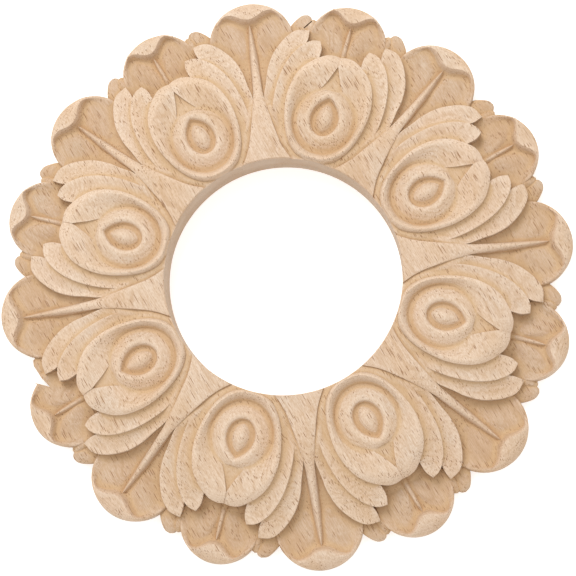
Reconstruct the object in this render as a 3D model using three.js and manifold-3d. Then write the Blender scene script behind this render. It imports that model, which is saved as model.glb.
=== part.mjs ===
// A carved wooden ceiling medallion: one open ring of eight rosebuds, each with two side leaves on either
// hand, inside a rim of sixteen round lobes with rolled lips and sixteen small pointed tips. The whole ring
// is one piece.
// Frame: millimetres, the flat back on z = 0 with the hole's centre at the origin, the carved face towards +Z.
import * as THREE from "three";
import { mergeVertices } from "three/addons/utils/BufferGeometryUtils.js";
import Module from "manifold-3d";

const wasm = await Module();
wasm.setup();

// Driving dimensions, mm
const outerDiameter = 300; // across the tops of the lobes
const holeDiameter = 122;
const thickness = 25; // of the board that the ring was carved from, left whole round the hole
const budCount = 8;
const sawDepth = 2; // how far each carved body runs below the back before the back is sawn flat
const holeSides = 48;

// The carving's guide points are drawn in millimetres at this size and fitted to the sizes above: a length
// out from the hole as a share of the ring's width, an angle as a share of one bud's sector, and a height as
// a share of the thickness.
const drawing = { hole: 61, rim: 150, thickness: 25, buds: 8 };

// In the drawing x runs along the rim, y out from the centre along a bud's axis and z up from the back.
// A guide curve is a list of such points, and a body is lofted through a few of them, side by side.
const budEdge = [
  [0, 60.6, 21.6], [6, 61.4, 21.9], [11, 63.7, 22.7], [15.6, 69.1, 23.3], [18.8, 75.8, 23.3],
  [20.9, 83, 23.1], [22, 90, 22.8], [21.8, 97.4, 22.3], [19.8, 105.6, 21.2], [15.6, 112.2, 19.6],
  [8.8, 117.9, 18], [0, 119.2, 17.4],
];
const budCrest = [
  [0, 62.3, 25.5], [5.5, 63, 25.5], [9.6, 65.4, 25.2], [14.2, 70, 24.9], [17.3, 76, 24.5],
  [19.3, 83, 24], [20.3, 90, 23.6], [19.9, 96.5, 23.2], [17.8, 103.2, 22.6], [13.2, 107.9, 22],
  [7, 110.5, 21.7], [0, 111.8, 21.4],
];
// The inner leaf's free edge, and the line where the leaf is already under the bud, each up to the tip.
const innerLeafEdge = [
  [9, 56.5, 21], [13.6, 60, 21], [17.2, 63.2, 21], [21, 67.1, 21], [24, 71.4, 21], [26, 76.3, 21.1],
  [27.3, 82, 21.2], [28.4, 88, 21], [28.9, 95, 20.4], [28.7, 102, 19.5], [27.6, 109, 18.5],
  [25.2, 116, 17.1], [22, 121.2, 15.9], [18, 125, 15], [13.3, 126.3, 14.3],
];
const innerLeafRoot = [
  [3, 60.5, 21.6], [6.5, 62.5, 22], [10.5, 64.5, 22.4], [13.6, 68.5, 22.6], [16.2, 73.5, 22.6],
  [18, 78.5, 22.4], [19.3, 84, 22.2], [20, 90, 21.8], [19.9, 96.5, 21.3], [18.3, 103, 20.6],
  [15.4, 109, 19.4], [11.8, 114.5, 17.7], [11.3, 118.6, 16.4], [11.6, 122.4, 15.3], [13.3, 126.3, 14.3],
];
// The outer leaf, in the same way, comes from under the inner one.
const outerLeafEdge = [
  [19, 69, 20.6], [25, 74.5, 20.8], [28.9, 78.8, 20.8], [31.4, 82.3, 20.6], [32.9, 86.5, 20],
  [34, 90.4, 19.2], [34.5, 94, 18.4], [35.2, 99, 17.4], [36.1, 104.2, 16.2], [36, 112.2, 14.5],
  [34.3, 118.8, 13.4], [31.4, 125, 12.5], [27.2, 129.7, 11.8], [20.6, 131.5, 11.2],
];
const outerLeafRoot = [
  [16, 71, 20.8], [20, 75, 20.9], [22.6, 78.6, 20.8], [24.2, 82, 20.6], [25.2, 86, 20.2],
  [25.9, 89.6, 19.8], [26.4, 93.6, 19.4], [26.7, 98, 18.9], [26.6, 103, 18.3], [25.6, 109.6, 17.3],
  [23.6, 115.2, 16.1], [21, 120.4, 14.7], [20, 126, 13.1], [20.6, 131.5, 11.2],
];
const leafMiddle = 0.45; // share of a leaf's width at which its middle line runs
const leafHollow = 0.8;
const leafBase = { share: 0.3, bulge: 0.5 };
const tipEdge = [
  [24.8, 140.7, 5.6], [21.4, 139.2, 5.6], [18.4, 137.7, 5.6], [16.5, 128, 5.6], [25, 122, 5.6],
  [33.5, 125, 5.6], [30.9, 134.2, 5.6], [28, 139, 5.6],
];
const tipTop = [24.8, 131.5, 7.4];

// The rib on the axis between two buds, broad and flat at the hole: distance out, half width, height.
const longRib = [
  [57, 13.9, 23.2], [61, 11.8, 23.2], [65, 9.8, 23.3], [70, 7.9, 23.3], [75, 6.6, 23.2],
  [80, 5.5, 22.9], [85, 4.5, 22.4], [90, 3.6, 21.6], [95, 2.8, 20.3], [100, 2.25, 18.7],
  [107, 1.9, 16.2], [115, 1.5, 13.6], [124, 1.2, 11.3], [131, 0.9, 10], [137.5, 0.5, 8.8],
];
// The short one behind each bud.
const shortRib = [[115, 1.7, 11.4], [121, 1.5, 10.9], [127, 1.2, 10.2], [133, 0.9, 9.4], [138, 0.5, 8.8]];
const ribFlank = { run: 1.1, shoulder: 0.4, fall: 3.5, narrowFall: 5, narrowFrom: 92 };

// The lobes are round, and those between the buds are a little larger. Half of the rolled lip's inner line is
// given from its cusp on the lobe's axis to where it runs out into the rim, at the lip's foot and on its top.
const betweenLobe = {
  centre: 127.5, radius: 22.5, floor: 8.8,
  foot: [[0, 135.6], [4, 136.8], [7.4, 139.3], [10.4, 141.2], [13.6, 141.8]],
  top: [[0, 139.9], [3.6, 140.7], [6.8, 142.6], [9.8, 143.5], [13.2, 143.5]],
};
const behindLobe = {
  centre: 129.2, radius: 20.7, floor: 10.2,
  foot: [[0, 136], [3.6, 137.4], [6.4, 140.2], [8.8, 142.5], [11.8, 143]],
  top: [[0, 140], [3.1, 141], [5.8, 143.1], [8.3, 144.6], [11.2, 144.9]],
};
const lobePole = 122;
const lobeHeight = { foot: 7.8, lip: 11.5, shoulder: 10, rim: 5.2, sideLip: 8.8, sideRim: 7.8, buried: 6 };
// Angles from the axis, in radians, over which a lobe goes over to its side's heights, then under its leaves
const toSide = { from: 0.35, to: 0.75 };
const toBack = { from: 1.4, to: 1.9 };
const rayCrowding = 1.4;
// How far inside the rim the hollow's foot and the lip run at a lobe's side
const sideHollow = { foot: 6, lip: 1 };

const eye = { y: 84.4, halfWidth: 6.1, below: 8.1, above: 9.8, dome: 22.7, groove: 19.8 };
const collar = { halfWidth: 8.6, below: 10.2, above: 12.5, height: 22.7 };
const bowl = { y: 83.5, halfWidth: 15.9, halfLength: 17, height: 20.4 };

// The powers of a sine that draw the eye and its collar to a point above, where 1 is round.
const eyePoint = 1.75;
const collarPoint = 1.35;

// The V between the two petals' inner edges.
const vee = { apex: [0, 112.9, 20.1], foot: [5, 101, 20.4], above: 30 };

// The body under the carving, whose top is the floor of the deep wedges: distance out and height.
const groundProfile = [
  [55, -sawDepth], [131, -sawDepth], [131, 6.6], [112, 10.4], [103, 13.6], [94, 18.4], [65, 20.6], [55, 20.6],
];

// One rim tip and the side of the lobe next to it were lost, at the bud opposite the x axis. The break's
// outline starts in its notch, follows the tip's stump and comes back far outside the rim, along the cut
// lobe's line.
const breakBud = 4;
const breakOutline = [[14.2, 132.9], [20.5, 134.5], [28, 135.1], [31.1, 134.1], [40, 145], [33, 151.5]];

// Grid steps of each body
const steps = { budRound: 16, innerLeaf: 8, outerLeaf: 6, longRib: 6, shortRib: 1, lobeHalf: 7 };

const outerRadius = outerDiameter / 2;
const holeRadius = holeDiameter / 2;
const halfTurn = Math.PI;

// A point of the drawing in the ring's frame, on the sector that starts `sector` buds round from the x axis.
function fitted([x, y, z], sector) {
  const share = (Math.hypot(x, y) - drawing.hole) / (drawing.rim - drawing.hole);
  const radius = holeRadius + share * (outerRadius - holeRadius);
  const angle = (2 * halfTurn * sector) / budCount - (Math.atan2(x, y) * drawing.buds) / budCount;
  const height = (z * thickness) / drawing.thickness;
  return [radius * Math.cos(angle), radius * Math.sin(angle), height];
}

function mirrored(rows) {
  return rows.map((row) => row.map(([x, y, z]) => [-x, y, z]).reverse());
}

// A point a share t of the way along a smooth curve through the given points, of two or three numbers each.
function along(points, t) {
  const curve = new THREE.CatmullRomCurve3(points.map(([x, y, z = 0]) => new THREE.Vector3(x, y, z)));
  return curve.getPoint(t).toArray();
}

function between(a, b, t) {
  return a.map((value, i) => value + (b[i] - value) * t);
}

// A closed body under a grid of points: the grid is its top, upright walls stand round it, and a flat copy
// closes it. The rows' order turned a quarter to the left gives the order in a row. A closed grid's rows are
// rings.
function bodyUnder(rows, sector, isRing) {
  const rowCount = rows.length;
  const columnCount = rows[0].length;
  const top = rows.flat().map((point) => fitted(point, sector));
  const bottom = top.map(([x, y]) => [x, y, -sawDepth]);
  const index = [];
  const at = (i, j) => i * columnCount + (j % columnCount);
  const under = (i, j) => at(i, j) + top.length;
  const quad = (a, b, c, d) => index.push(a, b, c, a, c, d);
  const lastColumn = isRing ? columnCount : columnCount - 1;
  for (let i = 0; i + 1 < rowCount; i++) {
    for (let j = 0; j < lastColumn; j++) {
      quad(at(i, j), at(i + 1, j), at(i + 1, j + 1), at(i, j + 1));
      quad(under(i, j), under(i, j + 1), under(i + 1, j + 1), under(i + 1, j));
    }
    if (!isRing) {
      quad(at(i, 0), under(i, 0), under(i + 1, 0), at(i + 1, 0));
      quad(at(i + 1, lastColumn), under(i + 1, lastColumn), under(i, lastColumn), at(i, lastColumn));
    }
  }
  for (let j = 0; j < lastColumn; j++) {
    quad(at(rowCount - 1, j), under(rowCount - 1, j), under(rowCount - 1, j + 1), at(rowCount - 1, j + 1));
    if (!isRing) quad(at(0, j + 1), under(0, j + 1), under(0, j), at(0, j));
  }
  const geometry = new THREE.BufferGeometry();
  geometry.setAttribute("position", new THREE.Float32BufferAttribute([...top, ...bottom].flat(), 3));
  geometry.setIndex(index);
  return solid(geometry);
}

function solid(geometry) {
  geometry.deleteAttribute("normal");
  geometry.deleteAttribute("uv");
  const merged = mergeVertices(geometry, 1e-4);
  const corners = [];
  for (let i = 0; i < merged.index.count; i += 3) {
    const [a, b, c] = merged.index.array.slice(i, i + 3);
    if (a !== b && b !== c && c !== a) corners.push(a, b, c);
  }
  const vertProperties = merged.attributes.position.array;
  return new wasm.Manifold(new wasm.Mesh({ numProp: 3, vertProperties, triVerts: new Uint32Array(corners) }));
}

// The bud is lofted in rings out from the eye: dome, V groove, collar, bowl, the petals' crest, their edge.
function bud(sector) {
  const rings = [[], [], [], [], [], []];
  for (let j = 0; j < steps.budRound; j++) {
    const turn = (2 * halfTurn * j) / steps.budRound;
    const side = Math.sin(turn);
    const drop = -Math.cos(turn);
    const isAbove = drop > 0;
    const pointed = Math.sign(side) * Math.abs(side) ** (isAbove ? eyePoint : 1);
    const ogive = Math.sign(side) * Math.abs(side) ** (isAbove ? collarPoint : 1);
    const eyeReach = drop * (isAbove ? eye.above : eye.below);
    const collarReach = drop * (isAbove ? collar.above : collar.below);
    const share = 1 - Math.abs(1 - turn / halfTurn);
    const hand = turn > halfTurn ? -1 : 1;
    const [crestX, ...crest] = along(budCrest, share);
    const [edgeX, ...edge] = along(budEdge, share);
    rings[0].push([0, eye.y, eye.dome]);
    rings[1].push([eye.halfWidth * pointed, eye.y + eyeReach, eye.groove]);
    rings[2].push([collar.halfWidth * ogive, eye.y + collarReach, collar.height]);
    rings[3].push([bowl.halfWidth * side, bowl.y + drop * bowl.halfLength, bowl.height]);
    rings[4].push([hand * crestX, ...crest]);
    rings[5].push([hand * edgeX, ...edge]);
  }
  return bodyUnder(rings, sector, true).subtract(veeCut(sector));
}

// A three-sided prism whose slanting foot leaves a shallow V between the petals.
function veeCut(sector) {
  const [x, y, z] = vee.foot;
  const foot = [vee.apex, [-x, y, z], [x, y, z]].map((point) => fitted(point, sector));
  const lid = foot.map(([px, py]) => [px, py, vee.above]);
  const geometry = new THREE.BufferGeometry();
  geometry.setAttribute("position", new THREE.Float32BufferAttribute([...foot, ...lid].flat(), 3));
  geometry.setIndex([0, 2, 1, 3, 4, 5, 0, 1, 4, 0, 4, 3, 1, 2, 5, 1, 5, 4, 2, 0, 3, 2, 3, 5]);
  return solid(geometry);
}

// A leaf hangs between its free edge and its root line, hollowed a little across towards the tip and a
// little round near its base.
function leaf(edge, root, stepCount, sector, isLeft) {
  const rows = [];
  for (let i = 0; i <= stepCount; i++) {
    const t = i / stepCount;
    const hollow = t < leafBase.share ? -leafBase.bulge : leafHollow * Math.sin(halfTurn * t);
    const outer = along(edge, t);
    const inner = along(root, t);
    rows.push([0, leafMiddle, 1].map((across) => {
      const point = between(outer, inner, across);
      point[2] -= hollow * Math.sin(halfTurn * across);
      return point;
    }));
  }
  return bodyUnder(isLeft ? mirrored(rows) : rows, sector, false);
}

function tip(sector, isLeft) {
  const rows = [tipEdge.map(() => tipTop), tipEdge];
  return bodyUnder(isLeft ? mirrored(rows) : rows, sector, true);
}

function rib(stations, stepCount, sector) {
  const rows = [];
  for (let i = 0; i <= stepCount; i++) {
    const [y, halfWidth, height] = along(stations, i / stepCount);
    const fall = y < ribFlank.narrowFrom ? ribFlank.fall : ribFlank.narrowFall;
    const foot = Math.max(height - fall, lobeHeight.buried);
    rows.push([
      [halfWidth + ribFlank.run, y, foot],
      [halfWidth, y, height - ribFlank.shoulder],
      [0, y, height],
      [-halfWidth, y, height - ribFlank.shoulder],
      [-halfWidth - ribFlank.run, y, foot],
    ]);
  }
  return bodyUnder(rows, sector, false);
}

// A lobe is lofted in rings out from a pole on its axis: hollow, lip's foot, lip's top, shoulder, rim. Round
// the pole a ray's angle grows faster than its number, so that the rays are close together at the lip.
function lobe(shape, sector) {
  const offset = shape.centre - lobePole;
  const rings = [[], [], [], [], []];
  const [foot, top] = [shape.foot, shape.top].map((line) => line.map(fromPole));
  for (let j = 0; j < 2 * steps.lobeHalf; j++) {
    const t = j / steps.lobeHalf - 1;
    const angle = halfTurn * Math.sign(t) * Math.abs(t) ** rayCrowding;
    const turn = Math.abs(angle);
    const rim = offset * Math.cos(angle) + Math.sqrt(shape.radius ** 2 - (offset * Math.sin(angle)) ** 2);
    const footReach = turn < foot.at(-1)[0] ? lookUp(foot, turn) : rim - sideHollow.foot;
    const topReach = turn < top.at(-1)[0] ? lookUp(top, turn) : rim - sideHollow.lip;
    const level = (onAxis, atSide) => {
      const mixed = onAxis + (atSide - onAxis) * smooth(toSide.from, toSide.to, turn);
      return mixed + (lobeHeight.buried - mixed) * smooth(toBack.from, toBack.to, turn);
    };
    const point = (reach, z) => [-reach * Math.sin(angle), lobePole + reach * Math.cos(angle), z];
    rings[0].push([0, lobePole, shape.floor]);
    rings[1].push(point(footReach, level(lobeHeight.foot, lobeHeight.foot)));
    rings[2].push(point(topReach, level(lobeHeight.lip, lobeHeight.sideLip)));
    rings[3].push(point((topReach + rim) / 2, level(lobeHeight.shoulder, lobeHeight.sideLip)));
    rings[4].push(point(rim, level(lobeHeight.rim, lobeHeight.sideRim)));
  }
  return bodyUnder(rings, sector, true);
}

// A lip's point as an angle from the lobe's axis and a distance, both at the pole.
function fromPole([u, v]) {
  return [Math.atan2(u, v - lobePole), Math.hypot(u, v - lobePole)];
}

// The second number of a list of pairs at a value of the first, straight between them.
function lookUp(pairs, value) {
  const i = pairs.findIndex(([key]) => key >= value);
  if (i <= 0) return pairs[Math.max(i, 0)][1];
  const [[a, from], [b, to]] = [pairs[i - 1], pairs[i]];
  return from + ((to - from) * (value - a)) / (b - a);
}

// What was broken off at one lobe and the tip beside it.
function lostPiece() {
  const outline = breakOutline.map(([x, y]) => fitted([x, y, 0], breakBud));
  const shape = new THREE.Shape(outline.map(([x, y]) => new THREE.Vector2(x, y)));
  const prism = new THREE.ExtrudeGeometry(shape, { depth: 4 * thickness, bevelEnabled: false });
  return solid(prism.translate(0, 0, -thickness));
}

function smooth(from, to, value) {
  return THREE.MathUtils.smoothstep(value, from, to);
}

function ground() {
  const profile = groundProfile.map(([r, z]) => {
    const [x, , height] = fitted([0, r, z], 0);
    return new THREE.Vector2(x, height);
  });
  const ring = new THREE.LatheGeometry([...profile, profile[0]], holeSides);
  return solid(ring.rotateX(halfTurn / 2));
}

const bodies = [ground()];
for (let sector = 0; sector < budCount; sector++) {
  bodies.push(lobe(behindLobe, sector), lobe(betweenLobe, sector + 0.5));
  bodies.push(rib(shortRib, steps.shortRib, sector), rib(longRib, steps.longRib, sector + 0.5));
  for (const isLeft of [false, true]) {
    bodies.push(tip(sector, isLeft));
    bodies.push(leaf(outerLeafEdge, outerLeafRoot, steps.outerLeaf, sector, isLeft));
    bodies.push(leaf(innerLeafEdge, innerLeafRoot, steps.innerLeaf, sector, isLeft));
  }
  bodies.push(bud(sector));
}

// The back is sawn flat, the hole is cut through, and the broken piece comes off.
const face = new THREE.BoxGeometry(2 * outerDiameter, 2 * outerDiameter, 2 * thickness);
face.translate(0, 0, thickness);
const hole = new THREE.CylinderGeometry(holeRadius, holeRadius, 4 * thickness, holeSides);
hole.rotateX(halfTurn / 2);
const whole = bodies.reduce((sum, body) => sum.add(body));
const carved = whole.intersect(solid(face)).subtract(solid(hole)).subtract(lostPiece());

const { vertProperties, triVerts } = carved.getMesh();
const geometry = new THREE.BufferGeometry();
geometry.setAttribute("position", new THREE.BufferAttribute(vertProperties, 3));
geometry.setIndex(new THREE.BufferAttribute(triVerts, 1));
geometry.computeVertexNormals();

const wood = new THREE.MeshStandardMaterial({ color: 0xd9b896, roughness: 0.75, metalness: 0 });
const medallion = new THREE.Mesh(geometry, wood);
medallion.name = "medallion";

const ring = new THREE.Group();
ring.add(medallion);
export default ring;
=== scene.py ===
import bpy
import numpy as np
from mathutils import Matrix, Vector


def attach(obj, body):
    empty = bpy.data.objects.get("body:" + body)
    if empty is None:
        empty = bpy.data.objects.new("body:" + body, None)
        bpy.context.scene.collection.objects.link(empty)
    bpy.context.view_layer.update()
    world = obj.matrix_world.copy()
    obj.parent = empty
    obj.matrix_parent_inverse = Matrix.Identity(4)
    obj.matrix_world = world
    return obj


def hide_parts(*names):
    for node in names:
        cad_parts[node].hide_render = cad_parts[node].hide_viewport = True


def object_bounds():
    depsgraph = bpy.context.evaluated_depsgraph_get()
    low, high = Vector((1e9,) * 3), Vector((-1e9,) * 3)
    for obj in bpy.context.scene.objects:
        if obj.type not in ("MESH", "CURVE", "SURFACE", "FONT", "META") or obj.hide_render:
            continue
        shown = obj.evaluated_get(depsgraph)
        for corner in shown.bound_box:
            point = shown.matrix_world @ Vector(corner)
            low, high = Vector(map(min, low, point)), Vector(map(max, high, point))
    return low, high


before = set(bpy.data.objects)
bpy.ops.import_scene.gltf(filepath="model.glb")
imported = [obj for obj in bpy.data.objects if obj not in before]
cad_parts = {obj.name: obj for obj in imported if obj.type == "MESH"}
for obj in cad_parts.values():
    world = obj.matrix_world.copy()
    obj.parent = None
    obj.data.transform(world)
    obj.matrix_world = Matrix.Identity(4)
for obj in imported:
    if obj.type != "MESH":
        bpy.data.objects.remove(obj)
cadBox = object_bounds()
scene = bpy.context.scene

# The carving is drawn in mm: x along the rim, y out from the centre on a bud's axis, z up from the back.
ring = {
    "drawnWidth": 299.8, "hole": 61, "buds": 8, "belowBack": 2, "rounding": 0.45, "sharpAngle": 38,
    "cutFrom": -5, "cutTo": 30, "weldDecimals": 8,
}
metres = (cadBox[1][0] - cadBox[0][0]) / ring["drawnWidth"]


# Small helpers for curves and grids

def curveThrough(points, t):
    # Catmull-Rom: the cubic between two points whose slopes are half the step between their neighbours.
    p = np.array(points, float)
    p = np.vstack([2 * p[0] - p[1], p, 2 * p[-1] - p[-2]])
    s = np.clip(t, 0, 1) * (len(points) - 1)
    i = np.minimum(s.astype(int), len(points) - 2)
    f = (s - i)[..., None]
    a, b, c, d = p[i], p[i + 1], p[i + 2], p[i + 3]
    return b + 0.5 * f * (c - a + f * (2 * a - 5 * b + 4 * c - d + f * (3 * (b - c) + d - a)))


def smooth(low, high, value):
    t = np.clip((value - low) / (high - low), 0, 1)
    return t * t * (3 - 2 * t)


def mix(a, b, t):
    return a + (b - a) * t


def bodyUnder(top, isRing):
    # The grid is the body's top. Its flat copy below the back and upright walls at its border close it.
    rows, columns = top.shape[:2]
    bottom = top.copy()
    bottom[..., 2] = -ring["belowBack"]
    points = np.concatenate([top.reshape(-1, 3), bottom.reshape(-1, 3)])
    at = np.arange(rows * columns).reshape(rows, columns)
    if isRing:
        at = np.hstack([at, at[:, :1]])
    under = at + rows * columns

    def quads(a, b, c, d):
        return np.stack([a, b, c, d], -1).reshape(-1, 4)

    faces = [
        quads(at[:-1, :-1], at[1:, :-1], at[1:, 1:], at[:-1, 1:]),
        quads(under[:-1, :-1], under[:-1, 1:], under[1:, 1:], under[1:, :-1]),
        quads(at[-1, :-1], under[-1, :-1], under[-1, 1:], at[-1, 1:]),
    ]
    if not isRing:
        faces += [
            quads(at[0, 1:], under[0, 1:], under[0, :-1], at[0, :-1]),
            quads(at[:-1, 0], under[:-1, 0], under[1:, 0], at[1:, 0]),
            quads(at[1:, -1], under[1:, -1], under[:-1, -1], at[:-1, -1]),
        ]
    return points, np.vstack(faces)


def mirrored(body):
    points, faces = body
    return points * [-1, 1, 1], faces[:, ::-1]


def turned(body, sectors):
    # Copies of a body, each turned by its share of the ring about the hole's axis.
    points, faces = body
    angle = 2 * np.pi * np.array(sectors, float) / ring["buds"] - np.pi / 2
    c, s = np.cos(angle)[:, None], np.sin(angle)[:, None]
    x, y, z = points.T
    copies = np.stack([c * x - s * y, s * x + c * y, np.broadcast_to(z, (len(angle), len(z)))], -1)
    offsets = np.arange(len(angle))[:, None, None] * len(points)
    return copies.reshape(-1, 3), (faces[None] + offsets).reshape(-1, 4)


def meshFrom(name, bodies):
    # Welds equal corners and drops the triangles that they flatten.
    points, faces, count = [], [], 0
    for p, f in bodies:
        points.append(p)
        faces.append(f + count)
        count += len(p)
    points, faces = np.vstack(points) * metres, np.vstack(faces)
    rounded = np.round(points, ring["weldDecimals"])
    _, first, welded = np.unique(rounded, axis=0, return_index=True, return_inverse=True)
    triangles = welded.reshape(-1)[np.vstack([faces[:, [0, 1, 2]], faces[:, [0, 2, 3]]])]
    a, b, c = triangles.T
    triangles = triangles[(a != b) & (b != c) & (c != a)]
    mesh = bpy.data.meshes.new(name)
    mesh.from_pydata(points[first], [], triangles)
    thing = bpy.data.objects.new(name, mesh)
    scene.collection.objects.link(thing)
    return thing


budSectors = range(ring["buds"])
gapSectors = [sector + 0.5 for sector in budSectors]


# Buds: rings out from the eye, each with an outline of its own, and bands between them

bud = {
    "round": 104,
    "edge": [
        (0, 60.6, 21.6), (6, 61.4, 21.9), (11, 63.7, 22.7), (15.6, 69.1, 23.3), (18.8, 75.8, 23.3),
        (20.9, 83, 23.1), (22, 90, 22.8), (21.8, 97.4, 22.3), (19.8, 105.6, 21.2), (15.6, 112.2, 19.6),
        (8.8, 117.9, 18), (4, 119.3, 17.5), (0, 119, 17.4),
    ],
    "crest": [
        (0, 62.3, 25.4), (5.5, 63, 25.4), (9.6, 65.4, 25.2), (14.2, 70, 24.9), (17.3, 76, 24.5),
        (19.3, 83, 24), (20.3, 90, 23.6), (19.9, 96.5, 23.2), (17.8, 103.2, 22.6), (13.2, 107.9, 22),
        (7, 110.5, 21.7), (3.4, 111.6, 21.5), (0, 111.8, 21.4),
    ],
    # ovals from the eye outwards: centre y, half width, reach below and above, height, and the powers that
    # point their tops and bottoms
    "centre": (84.4, 0, 0, 0, 22.7, 1, 1),
    "domeFoot": (84.4, 4.1, 6.6, 7.4, 20.8, 1.35, 1.3),
    "groove": (84.4, 6.1, 8.1, 9.8, 19.8, 1.6, 1),
    "rim": (84.4, 8.1, 9.7, 12, 22.5, 1.6, 1),
    "collar": (84.2, 9.2, 10.7, 13.2, 22.8, 1.35, 1),
    "bowl": (83.5, 15.9, 17, 16.8, 20.3, 1, 1), "bowlTop": 20.9, "bowlTopShare": (0.6, 0.95),
    "rows": (6, 3, 5, 3, 7, 9, 5), "softShare": (0.55, 0.9), "seamGap": 0.002,
    "bowlPower": 1.3, "bowlShare": 0.85, "petalPower": 2.5,
    "veeLine": [(0.05, 112.9), (1.6, 109), (3.2, 105), (5, 101.4), (6, 99.6)],
    "veeFloor": [20.1, 20.1, 20.2, 20.5, 20.9],
    "veeRows": 18, "veeAcross": 9, "veeSag": 0.3, "veeTop": 40,
    "overlap": 0.55, "overlapWidth": 4.5, "overlapFrom": (109, 113),
}


def budBody():
    # Round the eye by an angle, out from it by bands between ovals. Each band rises by a sine, a cosine or
    # a power of the way across it.
    turn = np.linspace(0, np.pi - bud["seamGap"], bud["round"] // 2)
    turn = np.concatenate([turn, 2 * np.pi - turn[:0:-1]])
    side, drop = np.sin(turn), -np.cos(turn)
    isAbove = drop > 0
    share = 1 - np.abs(1 - turn / np.pi)
    hand = np.stack([np.where(turn > np.pi, -1, 1), 0 * turn + 1, 0 * turn + 1], -1)

    def oval(name):
        y, half, below, above, z, top, bottom = bud[name]
        x = half * np.sign(side) * np.abs(side) ** np.where(isAbove, top, bottom)
        return np.stack([x, y + drop * np.where(isAbove, above, below), np.full_like(x, z)], -1)

    def band(a, b, rise, count):
        t = np.linspace(0, 1, count, endpoint=False)[:, None]
        xy = mix(a[None, :, :2], b[None, :, :2], t[..., None])
        return np.concatenate([xy, mix(a[None, :, 2], b[None, :, 2], rise(t))[..., None]], -1)

    def ess(t):
        return (1 - np.cos(np.pi * t)) / 2

    def quarter(t):
        return np.sin(t * np.pi / 2)

    crest, edge = (curveThrough(bud[name], share) * hand for name in ("crest", "edge"))
    # the crest is sharp at the sides and round on the petals' ends
    soft = smooth(*bud["softShare"], share)
    centre, domeFoot, groove = oval("centre"), oval("domeFoot"), oval("groove")
    rim, collar, bowl = oval("rim"), oval("collar"), oval("bowl")
    bowl[:, 2] = mix(bowl[:, 2], bud["bowlTop"], smooth(*bud["bowlTopShare"], share))
    bands = [
        (centre, domeFoot, lambda t: t ** 2),
        (domeFoot, groove, quarter),
        (groove, rim, ess),
        (rim, collar, quarter),
        (collar, bowl, lambda t: mix(ess(t), t ** bud["bowlPower"], bud["bowlShare"])),
        (bowl, crest, lambda t: mix(t, quarter(t), 0.5 + 0.5 * soft)),
        (crest, edge, lambda t: mix(1 - np.cos(np.pi * t / 2), t ** bud["petalPower"], soft)),
    ]
    rows = [band(*ends, count) for ends, count in zip(bands, bud["rows"])]
    top = np.concatenate(rows + [edge[None]])
    x, y = top[..., 0], top[..., 1]
    # one petal lies over the other: its neighbour dips along the seam
    nearSeam = (x < 0) * np.exp(-(x / bud["overlapWidth"]) ** 2)
    top[..., 2] -= bud["overlap"] * nearSeam * smooth(*bud["overlapFrom"], y)
    return bodyUnder(top, True)


def veeBody():
    # The space between the petals' inner edges: a patch between two curved lines, open to above.
    t = np.linspace(0, 1, bud["veeRows"])
    line = curveThrough(bud["veeLine"], t)
    across = np.linspace(-1, 1, bud["veeAcross"])
    x = line[:, 0, None] * across
    y = np.broadcast_to(line[:, 1, None], x.shape)
    floor = curveThrough([(z, 0) for z in bud["veeFloor"]], t)[:, :1]
    z = floor - bud["veeSag"] * (1 - across ** 2) * np.sin(np.pi * t)[:, None]
    points, faces = bodyUnder(np.stack([x, y, z], -1), False)
    isLow = points[:, 2] == -ring["belowBack"]
    points[isLow, 2] = bud["veeTop"]
    return points, faces[:, ::-1]


budPiece = meshFrom("buds", [turned(budBody(), budSectors)])
veePiece = meshFrom("vees", [turned(veeBody(), budSectors)])
print("buds", len(budPiece.data.polygons))


# Leaves: rows along the leaf, each from its free edge, which is rounded, to its root under the next layer

innerLeaf = {
    "rows": 54,
    "edge": [
        (9, 56.5, 21), (13.6, 60, 21), (17.2, 63.2, 21), (21, 67.1, 21), (24, 71.4, 21), (26, 76.3, 21.1),
        (27.3, 82, 21.2), (28.4, 88, 21), (28.9, 95, 20.4), (28.7, 102, 19.5), (27.6, 109, 18.5),
        (25.2, 116, 17.1), (22, 121.2, 15.9), (18, 125, 15), (13.3, 126.3, 14.3),
    ],
    "root": [
        (3, 60.5, 21.6), (6.5, 62.5, 22), (10.5, 64.5, 22.4), (13.6, 68.5, 22.6), (16.2, 73.5, 22.6),
        (18, 78.5, 22.4), (19.3, 84, 22.2), (20, 90, 21.8), (19.9, 96.5, 21.3), (18.3, 103, 20.6),
        (15.4, 109, 19.4), (11.8, 114.5, 17.7), (11.3, 118.6, 16.4), (11.6, 122.4, 15.3),
        (13.3, 126.3, 14.3),
    ],
}
outerLeaf = {
    "rows": 46,
    "edge": [
        (19, 69, 20.6), (25, 74.5, 20.8), (28.9, 78.8, 20.8), (31.4, 82.3, 20.6), (32.9, 86.5, 20),
        (34, 90.4, 19.2), (34.5, 94, 18.4), (35.2, 99, 17.4), (36.1, 104.2, 16.2), (36, 112.2, 14.5),
        (34.3, 118.8, 13.4), (31.4, 125, 12.5), (27.2, 129.7, 11.8), (20.6, 131.5, 11.2),
    ],
    "root": [
        (16, 71, 20.8), (20, 75, 20.9), (22.6, 78.6, 20.8), (24.2, 82, 20.6), (25.2, 86, 20.2),
        (25.9, 89.6, 19.8), (26.4, 93.6, 19.4), (26.7, 98, 18.9), (26.6, 103, 18.3), (25.6, 109.6, 17.3),
        (23.6, 115.2, 16.1), (21, 120.4, 14.7), (20, 126, 13.1), (20.6, 131.5, 11.2),
    ],
}
leafShape = {
    "across": 11, "nearEdge": (0, 0.08, 0.3, 0.6, 1),
    "bulge": 0.5, "hollow": 1.05, "baseShare": (0.4, 0.2),
}


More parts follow.
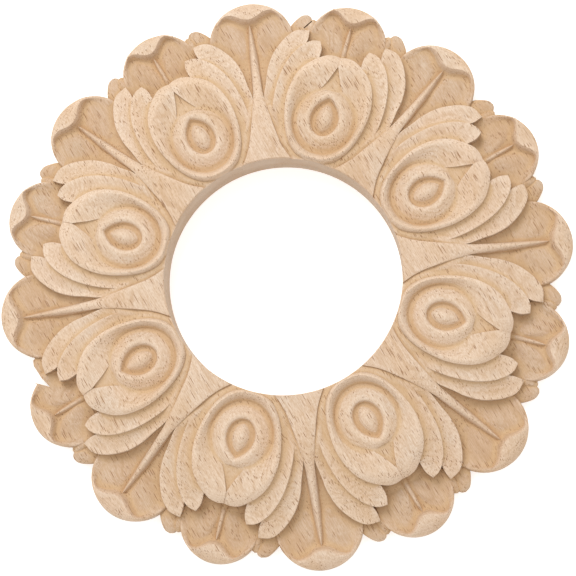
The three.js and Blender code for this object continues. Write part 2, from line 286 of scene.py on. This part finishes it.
def leafBody(leaf):
    # Height across a leaf: straight from edge to root, less a hollow by the sine and a quarter circle at
    # the edge.
    t = np.linspace(0, 1, leaf["rows"])
    outer, inner = curveThrough(leaf["edge"], t), curveThrough(leaf["root"], t)
    width = np.hypot(*(outer - inner)[:, :2].T)[:, None]
    r = ring["rounding"]
    nearEdge = r * np.array(leafShape["nearEdge"])
    steps = np.linspace(0, 1, leafShape["across"])[1:]
    distance = np.hstack([np.broadcast_to(nearEdge, (len(t), len(nearEdge))), r + (width - r) * steps])
    distance = np.minimum(distance, width)
    across = distance / np.maximum(width, 1e-6)
    grid = mix(outer[:, None], inner[:, None], across[..., None])
    base = smooth(*leafShape["baseShare"], t)
    hollow = mix(leafShape["hollow"] * np.sin(np.pi * t), -leafShape["bulge"], base)
    grid[..., 2] -= hollow[:, None] * np.sin(np.pi * across)
    grid[..., 2] -= r - np.sqrt(np.maximum(r ** 2 - np.maximum(r - distance, 0) ** 2, 0))
    return bodyUnder(grid, False)


def bothHands(body):
    return [turned(body, budSectors), turned(mirrored(body), budSectors)]


innerLeafPiece = meshFrom("innerLeaves", bothHands(leafBody(innerLeaf)))
outerLeafPiece = meshFrom("outerLeaves", bothHands(leafBody(outerLeaf)))
print("leaves", len(innerLeafPiece.data.polygons), len(outerLeafPiece.data.polygons))


# Rim tips: two small domed points between a lobe and the next, an outer and an inner one on either hand

rimTip = {
    "round": 36, "rows": 7, "square": 0.6,
    "outer": {
        "top": (25.6, 131.5, 7.3), "edgeHeight": 5.6,
        "edge": [
            (24.3, 140.7), (22.3, 139.9), (21.2, 137.6), (20.6, 132), (24.5, 124), (33.5, 125),
            (31.6, 132.4), (29.7, 136.4), (27.2, 139.6),
        ],
    },
    "inner": {
        "top": (20.2, 130.5, 8.6), "edgeHeight": 5.2,
        "edge": [
            (20.4, 139.2), (18.2, 137.6), (16.8, 132), (16.6, 126), (19.6, 123.5), (23.4, 127),
            (23.6, 134), (22.4, 138.2),
        ],
    },
}


def tipBody(tip):
    # From the top to the edge the height falls partly with the square of the way out, partly with an arc.
    edge = tip["edge"] + tip["edge"][:1]
    line = curveThrough(edge, np.linspace(0, 1, rimTip["round"], endpoint=False))
    t = np.sin(np.linspace(0, np.pi / 2, rimTip["rows"]))[:, None]
    top = np.array(tip["top"])
    xy = mix(top[:2], line[None], t[..., None])
    fall = mix(1 - np.sqrt(1 - t ** 2), t ** 2, rimTip["square"])
    z = top[2] - (top[2] - tip["edgeHeight"]) * fall
    return bodyUnder(np.concatenate([xy, np.broadcast_to(z[..., None], xy.shape[:2] + (1,))], -1), True)


tipPiece = meshFrom("rimTips", bothHands(tipBody(rimTip["outer"])))
innerTipPiece = meshFrom("innerRimTips", bothHands(tipBody(rimTip["inner"])))


# Ribs: a long one between two buds, broad and flat at the hole, and a short one behind each bud

rib = {
    "long": [
        (57, 13.9, 23.2), (61, 11.8, 23.2), (65, 9.8, 23.3), (70, 7.9, 23.3), (75, 6.6, 23.2),
        (80, 5.5, 22.9), (85, 4.5, 22.4), (90, 3.6, 21.6), (95, 2.8, 20.3), (100, 2.25, 18.7),
        (107, 1.9, 16.2), (115, 1.5, 13.6), (124, 1.2, 11.3), (131, 0.9, 10), (137.5, 0.4, 8.8),
    ],
    "short": [(115, 1.7, 11.4), (121, 1.5, 10.9), (127, 1.2, 10.2), (133, 0.9, 9.4), (138, 0.4, 8.8)],
    "longRows": 60, "shortRows": 18, "across": 13, "foot": 5,
    # each pair goes from a narrow rib to a broad one over the half widths that follow it
    "flank": (1.5, 0.5), "flankOver": (1, 3), "shoulder": (1, 0.4), "shoulderOver": (1.5, 6),
    "power": (2, 12), "powerOver": (2.5, 8), "fall": (4.5, 3.2), "fallOver": (2.8, 4.6),
}


def ribBody(stations, rows):
    # Section: height less the shoulder times |x / half width| to a power, then a steep straight flank.
    y, half, height = curveThrough(stations, np.linspace(0, 1, rows)).T[..., None]
    x = np.sin(np.linspace(-np.pi / 2, np.pi / 2, rib["across"]))[None, ::-1]

    def byWidth(name):
        return mix(*rib[name], smooth(*rib[name + "Over"], half))

    top = np.stack([half * x, y + 0 * x, height - byWidth("shoulder") * np.abs(x) ** byWidth("power")], -1)
    foot = np.maximum(height - byWidth("fall"), rib["foot"])
    flank = np.concatenate([half + byWidth("flank"), y, foot], -1)[:, None]
    return bodyUnder(np.concatenate([flank, top, flank * [-1, 1, 1]], 1), False)


ribPiece = meshFrom("ribs", [
    turned(ribBody(rib["long"], rib["longRows"]), gapSectors),
    turned(ribBody(rib["short"], rib["shortRows"]), budSectors),
])


# Lobes: rays from a pole on the axis, out over the hollow, up the lip's inner face and round to the rim

lobe = {
    "rays": 72, "crowding": 1.3, "rows": (8, 8, 8), "pole": 122,
    "between": {
        "centre": 127.5, "radius": 22.5, "tail": 17, "floor": 8.8, "tailFloor": 12.5,
        "foot": [(0, 135.6), (4, 136.8), (7.4, 139.3), (10.4, 141.2), (13.6, 141.8)],
        "top": [(0, 139.9), (3.6, 140.7), (6.8, 142.6), (9.8, 143.5), (13.2, 143.5)],
    },
    "behind": {
        "centre": 129.2, "radius": 20.7, "tail": 0, "floor": 10.2, "tailFloor": 10.8,
        "foot": [(0, 136), (3.6, 137.4), (6.4, 140.2), (8.8, 142.5), (11.8, 143)],
        "top": [(0, 140), (3.1, 141), (5.8, 143.1), (8.3, 144.6), (11.2, 144.9)],
    },
    "footHeight": 7.8, "lip": 11.6, "rim": 5.2, "sideLip": 8.7, "sideRim": 7.6,
    "sideFoot": 6, "sideEdge": 1, "dip": 1.1, "dipWidth": 2.8, "lipPower": 1.45,
    # angles from the axis over which a lobe goes over to its side, to its tail, and on down the tail
    "toSide": (0.4, 0.8), "toTail": (1.5, 1.9), "tailFrom": 2.25, "tailFloorFrom": 2.2, "lipEnd": 0.5,
    "lipSamples": 60,
}


def lobeBody(size):
    # Reach of each ray: to a circle, and behind the pole a tail further in. Heights: a soft step, a power
    # and an arc, less a dip beside the rib that falls off with the square of x.
    t = np.linspace(-1, 1, lobe["rays"], endpoint=False)
    angle = np.pi * np.sign(t) * np.abs(t) ** lobe["crowding"]
    turn = np.abs(angle)
    offset = size["centre"] - lobe["pole"]
    rim = offset * np.cos(angle) + np.sqrt(size["radius"] ** 2 - (offset * np.sin(angle)) ** 2)
    rim = rim + size["tail"] * smooth(lobe["tailFrom"], np.pi, turn)

    def lipReach(points, atSide):
        # On the lip by interpolation in angle. Past its end the distance in from the rim turns to atSide.
        u, v = curveThrough(points, np.linspace(0, 1, lobe["lipSamples"])).T
        at, reach = np.arctan2(u, v - lobe["pole"]), np.hypot(u, v - lobe["pole"])
        gap = np.interp(at[-1], turn[angle >= 0], rim[angle >= 0]) - reach[-1]
        beyond = rim - mix(gap, atSide, smooth(at[-1], at[-1] + lobe["lipEnd"], turn))
        return np.where(turn < at[-1], np.interp(turn, at, reach), beyond)

    foot, top = lipReach(size["foot"], lobe["sideFoot"]), lipReach(size["top"], lobe["sideEdge"])
    tailFloor = mix(size["floor"], size["tailFloor"], smooth(lobe["tailFloorFrom"], np.pi, turn))

    def level(onAxis, atSide):
        height = mix(onAxis, atSide, smooth(*lobe["toSide"], turn))
        return mix(height, tailFloor, smooth(*lobe["toTail"], turn))

    footHeight = level(lobe["footHeight"], lobe["footHeight"])
    topHeight = level(lobe["lip"], lobe["sideLip"])
    rimHeight = level(lobe["rim"], lobe["sideRim"])
    inHollow, onLip, onCrown = lobe["rows"]
    a = np.linspace(0, 1, inHollow, endpoint=False)[:, None]
    b = np.linspace(0, 1, onLip, endpoint=False)[:, None]
    c = np.linspace(0, np.pi / 2, onCrown)[:, None]
    reach = np.concatenate([foot * a, mix(foot, top, b), mix(top, rim, np.sin(c))])
    dip = lobe["dip"] * np.exp(-(reach * np.sin(angle) / lobe["dipWidth"]) ** 2)
    height = np.concatenate([
        mix(size["floor"], footHeight, smooth(0, 1, a)),
        mix(footHeight, topHeight, b ** lobe["lipPower"]),
        mix(rimHeight, topHeight, np.cos(c)),
    ]) - dip * np.concatenate([a * 0 + 1, 1 - b, c * 0])
    x, y = -reach * np.sin(angle), lobe["pole"] + reach * np.cos(angle)
    return bodyUnder(np.stack([x, y, height], -1), True)


lobePiece = meshFrom("lobes", [
    turned(lobeBody(lobe["between"]), gapSectors),
    turned(lobeBody(lobe["behind"]), budSectors),
])
print("rim", len(tipPiece.data.polygons), len(ribPiece.data.polygons), len(lobePiece.data.polygons))


# The ground that ties the bodies, the cutters, and the union

ground = {
    "profile": [
        (55, -2), (131, -2), (131, 4.5), (120, 8), (112, 10.8), (105, 13), (100, 15.6), (94.5, 18.6),
        (84, 19.6), (65, 20.8), (55, 20.8),
    ],
    "round": 192,
}
hole = ring["hole"]
holeCut = {
    "profile": [
        (0, ring["cutFrom"]), (hole, ring["cutFrom"]), (hole, 21.8), (hole + 0.15, 22.6),
        (hole + 0.9, 23.8), (hole + 1, ring["cutTo"]), (0, ring["cutTo"]),
    ],
    "round": 256,
}
breakCut = {
    "sector": 4,
    "outline": [(14.2, 132.9), (20.5, 134.5), (28, 135.1), (31.1, 134.1), (40, 145), (33, 151.5)],
}
crack = {"sector": 1, "outline": [(-21.6, 137.9), (-24.6, 133), (-24.1, 132.7), (-21, 137.5)], "low": 1}
pit = {"x": 18.3, "y": 125.1, "low": 12.2, "radius": 0.75, "tip": 0.45, "taper": 5, "round": 14}
backCut = {"half": 200, "low": -20}


def spun(profile, count):
    # Each profile point goes round the z axis, and the profile closes on itself.
    r, z = np.array(profile, float).T
    angle = np.linspace(0, 2 * np.pi, count, endpoint=False)
    grid = np.stack([r[:, None] * np.cos(angle), r[:, None] * np.sin(angle), z[:, None] + 0 * angle], -1)
    at = np.arange(grid.shape[0] * count).reshape(-1, count)
    at = np.vstack([at, at[:1]])
    at = np.hstack([at, at[:, :1]])
    faces = np.stack([at[:-1, :-1], at[:-1, 1:], at[1:, 1:], at[1:, :-1]], -1).reshape(-1, 4)
    return grid.reshape(-1, 3), faces


def prism(outline, low, high):
    # Upright walls on an outline, closed by fans from its middle.
    line = np.array(outline, float)
    middle = np.repeat(line.mean(0)[None], len(line), 0)
    rings = [(middle, high), (line, high), (line, low), (middle, low)]
    grid = np.stack([np.column_stack([xy, np.full(len(xy), z)]) for xy, z in rings])
    at = np.arange(grid.shape[0] * len(line)).reshape(-1, len(line))
    at = np.hstack([at, at[:, :1]])
    faces = np.stack([at[:-1, :-1], at[1:, :-1], at[1:, 1:], at[:-1, 1:]], -1).reshape(-1, 4)
    return grid.reshape(-1, 3), faces


def pitBody():
    # A tapered stop cut, straight down at the corner between the leaves.
    low, radius, high = pit["low"], pit["radius"], ring["cutTo"]
    tapered = [(pit["tip"] * radius, low), (radius, low + pit["taper"])]
    profile = [(0, low)] + tapered + [(radius, high), (0, high)]
    points, faces = spun(profile, pit["round"])
    return points + [pit["x"], pit["y"], 0], faces


groundPiece = meshFrom("ground", [spun(ground["profile"], ground["round"])])
holePiece = meshFrom("holeCut", [spun(holeCut["profile"], holeCut["round"])])
breakBody = prism(breakCut["outline"], ring["cutFrom"], ring["cutTo"])
breakPiece = meshFrom("breakCut", [turned(breakBody, [breakCut["sector"]])])
crackBody = prism(crack["outline"], crack["low"], ring["cutTo"])
crackPiece = meshFrom("crackCut", [turned(crackBody, [crack["sector"]])])
pitPiece = meshFrom("stopCuts", bothHands(pitBody()))
half = backCut["half"]
square = [(-half, -half), (half, -half), (half, half), (-half, half)]
backPiece = meshFrom("backCut", [prism(square, backCut["low"], 0)])


def combine(base, others, operation):
    for other in others:
        step = base.modifiers.new(other.name, "BOOLEAN")
        step.operation, step.solver, step.object = operation, "MANIFOLD", other
        step.show_viewport = step.show_render = True


layers = [lobePiece, ribPiece, tipPiece, innerTipPiece, outerLeafPiece, innerLeafPiece, budPiece]
cutters = [backPiece, holePiece, breakPiece, pitPiece, crackPiece]
combine(budPiece, [veePiece], "DIFFERENCE")
combine(groundPiece, layers, "UNION")
combine(groundPiece, cutters, "DIFFERENCE")
graph = bpy.context.evaluated_depsgraph_get()
carved = bpy.data.meshes.new_from_object(groundPiece.evaluated_get(graph))
carved.name = "carvedRing"
for thing in [groundPiece, veePiece] + layers + cutters:
    bpy.data.objects.remove(thing)
carvedRing = bpy.data.objects.new("carvedRing", carved)
scene.collection.objects.link(carvedRing)
print("union", len(carved.polygons), sum(len(p.vertices) - 2 for p in carved.polygons))
carved.shade_smooth()
carved.set_sharp_from_angle(angle=np.radians(ring["sharpAngle"]))


# How far each point lies below the carving around it, kept for the wood's painted shade and highlight

hollowField = {
    "cell": 0.5, "cells": 720, "covered": (0.45, 0.95), "aboveBack": 0.5, "leastMass": 1e-4,
    # each scale is the blur's spread and the depth that counts as fully hollow at it
    "scales": [(1.4, 0.9), (4, 4)],
}


def blurred(grid, spread):
    # A Gaussian blur by the Fourier transform.
    f = np.fft.fftfreq(grid.shape[0])
    fall = np.exp(-2 * (np.pi * spread) ** 2 * (f[:, None] ** 2 + f[None] ** 2))
    return np.fft.ifft2(np.fft.fft2(grid) * fall).real


def hollowOf(mesh):
    # Faces that look up leave their height on a plan grid, weighted by area. How hollow a point is follows
    # from the blurred height there less its own.
    count, cell = hollowField["cells"], hollowField["cell"]
    co, centre = np.empty(len(mesh.vertices) * 3), np.empty(len(mesh.polygons) * 3)
    normal, area = np.empty(len(mesh.polygons) * 3), np.empty(len(mesh.polygons))
    mesh.vertices.foreach_get("co", co)
    mesh.polygons.foreach_get("center", centre)
    mesh.polygons.foreach_get("normal", normal)
    mesh.polygons.foreach_get("area", area)
    co, centre = co.reshape(-1, 3) / metres, centre.reshape(-1, 3) / metres
    weight = area * np.maximum(normal.reshape(-1, 3)[:, 2], 0) / metres ** 2
    place = (centre[:, :2] / cell + count / 2).astype(int)
    mass, height = np.zeros((count, count)), np.zeros((count, count))
    np.add.at(mass, (place[:, 0], place[:, 1]), weight)
    np.add.at(height, (place[:, 0], place[:, 1]), weight * centre[:, 2])
    at = co[:, :2] / cell + count / 2 - 0.5
    low = at.astype(int)
    part = at - low
    u, v = low.T
    hollow = 0
    for spread, depth in hollowField["scales"]:
        blurredMass = np.maximum(blurred(mass, spread / cell), hollowField["leastMass"])
        mean = blurred(height, spread / cell) / blurredMass
        near, far = (mix(mean[u, v + i], mean[u + 1, v + i], part[:, 0]) for i in (0, 1))
        around = mix(near, far, part[:, 1])
        covered = smooth(*hollowField["covered"], blurredMass[u, v] / cell ** 2)
        hollow = hollow + np.clip((around - co[:, 2]) / depth, -1, 1) * covered
    return np.where(co[:, 2] > hollowField["aboveBack"], hollow / len(hollowField["scales"]), 0)


hollow = hollowOf(carved)
carved.attributes.new("hollow", "FLOAT", "POINT").data.foreach_set("value", hollow)
print("hollow", hollow.min(), hollow.max())


# Pale close-grained hardwood, sawn with its grain along y

woodLook = {
    "colours": {
        "pale": (0.79, 0.63, 0.488), "warm": (0.74, 0.545, 0.38), "rosy": (0.80, 0.60, 0.46),
        "cool": (0.75, 0.64, 0.53), "deep": (0.52, 0.315, 0.16), "goldenShade": (0.66, 0.445, 0.245),
        "crestHighlight": (0.86, 0.69, 0.54), "sawn": (0.45, 0.36, 0.28), "pore": (0.34, 0.165, 0.075),
        "low": (0.87, 0.82, 0.76),
    },
    # a pattern's cell in mm across the grain and along it, and its detail
    "patterns": {
        "bands": (16, 90, 3), "fibre": (0.36, 9, 4), "patches": (34, 46, 2), "coolPatches": (21, 30, 3),
        "speckle": (0.6, 1.5, 2), "layerWave": (24, 60, 2), "layerFade": (9, 20, 2), "uneven": (7, 9, 2),
    },
    # a tint's colour, the values at which it starts and is full, and its share where it is full
    "tints": {
        "bands": ("warm", 0.35, 0.68, 1.0), "patches": ("rosy", 0.4, 0.7, 0.35),
        "coolPatches": ("cool", 0.5, 0.72, 0.6), "fibre": ("deep", 0.62, 0.36, 0.42),
        # the tints read from the hollow attribute are painted shade in the hollows and a painted highlight
        # on the crests
        "endGrain": ("deep", 0.15, 0.95, 0.16), "hollow": ("goldenShade", 0.0, 0.3, 0.75),
        "deepHollowShade": ("deep", 0.3, 0.9, 0.4), "crestHighlight": ("crestHighlight", -0.05, -0.45, 0.35),
        # upright walls take a sawn grey that is partly painted shade
        "upright": ("sawn", 0.4, 0.1, 0.6), "speckle": ("deep", 0.42, 0.7, 0.3),
    },
    # a mask's colour and its share where the mask is 1
    "masks": {
        # the rim foot's grey is painted shade
        "growth": ("deep", 0.34), "rimFootShade": ("sawn", 0.5),
        "finePores": ("deep", 0.5), "pores": ("pore", 0.95),
    },
    # pores: a cell in mm across and along, and the radius in cells; of the cells, a share has a pore, and
    # for the coarse ones it grows from the pale bands to the dark ones
    "pores": (0.62, 11.5, 0.205), "poreShare": (0.4, 1.0), "poreBands": (0.36, 0.6),
    "finePores": (0.36, 2.2, 0.3), "finePoreShare": 0.75,
    "poreTurn": 0.03, "poreLeast": 0.55, "poreEdge": (1.1, 0.75),
    # growth layers: thickness in mm, tilt, wave in metres, and where each turns dark
    "layer": 0.85, "layerTilt": 0.11, "layerWave": 0.006,
    "layerDark": (0.1, 1.0), "layerFade": (0.35, 0.65),
    # metres: heights over which the low parts' painted shade comes in, radii over which the rim begins,
    # and the heights of the grey painted shade at its foot
    "lowShadeHeight": (0.0135, 0.0095), "insideRim": (0.145, 0.139), "rimFootShade": (0.0088, 0.0055),
    "roughness": (0.6, 0.74), "roughnessBands": (0.3, 0.7), "specular": 0.35,
    "relief": {"fibre": 0.05, "uneven": 0.35, "speckle": 0.1, "terraces": 0.12, "pores": -0.12},
    "terrace": 0.00032, "terraceSlope": (0.97, 0.8), "bumpDistance": 0.001, "bumpStrength": 0.7,
}


def paleWood():
    wood = bpy.data.materials.new("paleWood")
    wood.use_nodes = True
    tree = wood.node_tree
    shader = tree.nodes["Principled BSDF"]
    look = woodLook
    shader.inputs["Specular IOR Level"].default_value = look["specular"]

    def add(kind, **settings):
        node = tree.nodes.new("ShaderNode" + kind)
        for key, value in settings.items():
            setattr(node, key, value)
        return node

    def feed(socket, value):
        if isinstance(value, bpy.types.NodeSocket):
            tree.links.new(value, socket)
        else:
            socket.default_value = value

    def maths(operation, a, b=0.0, c=0.0):
        node = add("Math", operation=operation)
        for socket, value in zip(node.inputs, (a, b, c)):
            feed(socket, value)
        return node.outputs[0]

    def ramp(value, low, high, out=(0.0, 1.0)):
        node = add("MapRange", interpolation_type="SMOOTHSTEP")
        for socket, v in zip(node.inputs, (value, low, high, *out)):
            feed(socket, v)
        return node.outputs[0]

    def blend(factor, a, b, kind="MIX"):
        node = add("Mix", data_type="RGBA", blend_type=kind)
        feed(node.inputs["Factor"], factor)
        feed(node.inputs[6], a if isinstance(a, bpy.types.NodeSocket) else (*a, 1))
        feed(node.inputs[7], b if isinstance(b, bpy.types.NodeSocket) else (*b, 1))
        return node.outputs[2]

    def stretched(across, along, turn=0.0):
        # Object coordinates in cells: across the grain in x and z, along it in y.
        node = add("Mapping")
        tree.links.new(coords.outputs["Object"], node.inputs["Vector"])
        node.inputs["Scale"].default_value = (1000 / across, 1000 / along, 1000 / across)
        node.inputs["Rotation"].default_value = (turn, 0, turn)
        return node.outputs["Vector"]

    def pattern(name):
        across, along, detail = look["patterns"][name]
        node = add("TexNoise")
        tree.links.new(stretched(across, along), node.inputs["Vector"])
        node.inputs["Scale"].default_value = 1
        node.inputs["Detail"].default_value = detail
        return node.outputs["Fac"]

    def pores(name, share):
        # Vessels are long thin ellipsoids in the wood, one to a cell, and some cells have none.
        across, along, radius = look[name]
        cells = add("TexVoronoi")
        tree.links.new(stretched(across, along, look["poreTurn"]), cells.inputs["Vector"])
        cells.inputs["Scale"].default_value = 1
        split = add("SeparateColor")
        tree.links.new(cells.outputs["Color"], split.inputs["Color"])
        size = maths("MULTIPLY", maths("ADD", split.outputs["Green"], look["poreLeast"]), radius)
        isThere = maths("LESS_THAN", split.outputs["Red"], share)
        inside = ramp(maths("DIVIDE", cells.outputs["Distance"], size), *look["poreEdge"])
        return maths("MULTIPLY", inside, isThere)

    def tinted(under, name, value):
        colour, start, full, most = look["tints"][name]
        return blend(ramp(value, start, full, (0.0, most)), under, look["colours"][colour])

    def masked(under, name, mask):
        colour, most = look["masks"][name]
        return blend(maths("MULTIPLY", mask, most), under, look["colours"][colour])

    coords = add("TexCoord")
    place = add("SeparateXYZ")
    tree.links.new(coords.outputs["Object"], place.inputs["Vector"])
    geometry = add("NewGeometry")
    turn = add("VectorTransform", vector_type="NORMAL", convert_from="WORLD", convert_to="OBJECT")
    tree.links.new(geometry.outputs["Normal"], turn.inputs["Vector"])
    normal = add("SeparateXYZ")
    tree.links.new(turn.outputs["Vector"], normal.inputs["Vector"])
    upward = maths("ABSOLUTE", normal.outputs["Z"])
    hollowForShadeAndHighlight = add("Attribute", attribute_name="hollow").outputs["Fac"]

    bands, fibre, speckle = pattern("bands"), pattern("fibre"), pattern("speckle")
    # more vessels in the darker bands
    coarse = pores("pores", ramp(bands, *look["poreBands"], look["poreShare"]))
    fine = pores("finePores", look["finePoreShare"])
    # growth layers lie nearly flat in the board, so they run round the slopes as contour lines
    depth = maths("MULTIPLY_ADD", place.outputs["X"], look["layerTilt"], place.outputs["Z"])
    depth = maths("MULTIPLY_ADD", pattern("layerWave"), look["layerWave"], depth)
    wave = maths("SINE", maths("MULTIPLY", depth, 2000 * np.pi / look["layer"]))
    fade = ramp(pattern("layerFade"), *look["layerFade"])
    growth = maths("MULTIPLY", ramp(wave, *look["layerDark"]), fade)
    # the low parts inside the rim are darkened to a deeper tan and the rim's own foot is greyed: both are
    # painted shade
    radius = add("VectorMath", operation="LENGTH")
    tree.links.new(coords.outputs["Object"], radius.inputs[0])
    insideRim = ramp(radius.outputs["Value"], *look["insideRim"])
    low = maths("MULTIPLY", ramp(place.outputs["Z"], *look["lowShadeHeight"]), insideRim)
    onRim = maths("SUBTRACT", 1.0, insideRim)
    rimFootShade = maths("MULTIPLY", ramp(place.outputs["Z"], *look["rimFootShade"]), onRim)

    colour = tinted(look["colours"]["pale"], "bands", bands)
    colour = tinted(colour, "patches", pattern("patches"))
    colour = tinted(colour, "coolPatches", pattern("coolPatches"))
    colour = tinted(colour, "fibre", fibre)
    colour = masked(colour, "growth", growth)
    colour = tinted(colour, "endGrain", maths("ABSOLUTE", normal.outputs["Y"]))
    # painted shade: the low parts inside the rim are darkened to a deeper tan
    colour = blend(low, colour, look["colours"]["low"], "MULTIPLY")
    # painted shade: the hollows are darkened to golden, then deep brown, by how far they lie below the
    # carving around them
    colour = tinted(colour, "hollow", hollowForShadeAndHighlight)
    colour = tinted(colour, "deepHollowShade", hollowForShadeAndHighlight)
    # painted highlight: the crests, which stand above the carving around them, are lightened
    colour = tinted(colour, "crestHighlight", hollowForShadeAndHighlight)
    # upright walls are sawn, not cut, and greyer; their darker grey is also painted shade
    colour = tinted(colour, "upright", upward)
    # painted shade: the rim's foot is greyed
    colour = masked(colour, "rimFootShade", rimFootShade)
    colour = tinted(colour, "speckle", speckle)
    colour = masked(colour, "finePores", fine)
    colour = masked(colour, "pores", coarse)
    tree.links.new(colour, shader.inputs["Base Color"])
    tree.links.new(ramp(bands, *look["roughnessBands"], look["roughness"]), shader.inputs["Roughness"])

    # the cutter's terraces follow height and show on slopes
    step = maths("MULTIPLY", maths("PINGPONG", place.outputs["Z"], look["terrace"]), 1000.0)
    terraces = maths("MULTIPLY", step, ramp(upward, *look["terraceSlope"]))
    heights = {
        "fibre": fibre, "uneven": pattern("uneven"), "speckle": speckle, "terraces": terraces,
        "pores": coarse,
    }
    relief = 0.0
    for name, height in heights.items():
        relief = maths("MULTIPLY_ADD", height, look["relief"][name], relief)
    bump = add("Bump")
    bump.inputs["Distance"].default_value = look["bumpDistance"]
    bump.inputs["Strength"].default_value = look["bumpStrength"]
    tree.links.new(relief, bump.inputs["Height"])
    tree.links.new(bump.outputs["Normal"], shader.inputs["Normal"])
    return wood


carved.materials.clear()
carved.materials.append(paleWood())

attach(carvedRing, "root")
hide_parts("medallion")


# Floor, light and camera

view = {
    "tilt": 8.9, "towards": -66.5, "distance": 0.885, "lens": 105.9, "sensor": 36, "nearest": 0.01,
    "aim": (0.0012, -0.0032, 0), "turn": -30.35,
}
studio = {
    "floorHalf": 6, "floorHeight": -0.0002, "paper": (0.93, 0.93, 0.93, 1), "paperRoughness": 0.9,
    "paperGlow": 0.5, "sky": (1, 0.99, 0.975, 1), "skyStrength": 0.8,
    "key": {"place": (-0.75, 1.5, 2.2), "size": 1.3, "power": 33},
}

edge, height = studio["floorHalf"], studio["floorHeight"]
corners = [(-edge, -edge, height), (edge, -edge, height), (edge, edge, height), (-edge, edge, height)]
floorMesh = bpy.data.meshes.new("floor")
floorMesh.from_pydata(corners, [], [(0, 1, 2, 3)])
floor = bpy.data.objects.new("floor", floorMesh)
scene.collection.objects.link(floor)
paper = bpy.data.materials.new("paper")
paper.use_nodes = True
coat = paper.node_tree.nodes["Principled BSDF"].inputs
coat["Base Color"].default_value = studio["paper"]
coat["Roughness"].default_value = studio["paperRoughness"]
coat["Emission Color"].default_value = (1, 1, 1, 1)
coat["Emission Strength"].default_value = studio["paperGlow"]
floorMesh.materials.append(paper)

scene.world = bpy.data.worlds.new("studio")
scene.world.use_nodes = True
sky = scene.world.node_tree.nodes["Background"].inputs
sky["Color"].default_value = studio["sky"]
sky["Strength"].default_value = studio["skyStrength"]

photoTurn = Matrix.Rotation(np.radians(view["turn"]), 4, "Z")


def softbox(name, place, size, power):
    lamp = bpy.data.lights.new(name, "AREA")
    lamp.size, lamp.energy = size, power
    box = bpy.data.objects.new(name, lamp)
    scene.collection.objects.link(box)
    where = photoTurn @ Vector(place)
    box.location = where
    box.rotation_euler = (-where).to_track_quat("-Z", "Y").to_euler()


softbox("keySoftbox", **studio["key"])

tilt, towards = np.radians(view["tilt"]), np.radians(view["towards"])
facing = Vector((np.sin(tilt) * np.cos(towards), np.sin(tilt) * np.sin(towards), np.cos(tilt)))
across = Vector((0, 1, 0)).cross(facing).normalized()
upward = facing.cross(across)
place = Vector(view["aim"]) + facing * view["distance"]
camera = bpy.data.objects.new("camera", bpy.data.cameras.new("camera"))
scene.collection.objects.link(camera)
axes = [(*row,) for row in zip(across, upward, facing, place)]
camera.matrix_world = photoTurn @ Matrix(axes + [(0, 0, 0, 1)])
camera.data.sensor_width, camera.data.lens = view["sensor"], view["lens"]
camera.data.clip_start = view["nearest"]
scene.camera = camera
scene.view_settings.view_transform = "Standard"
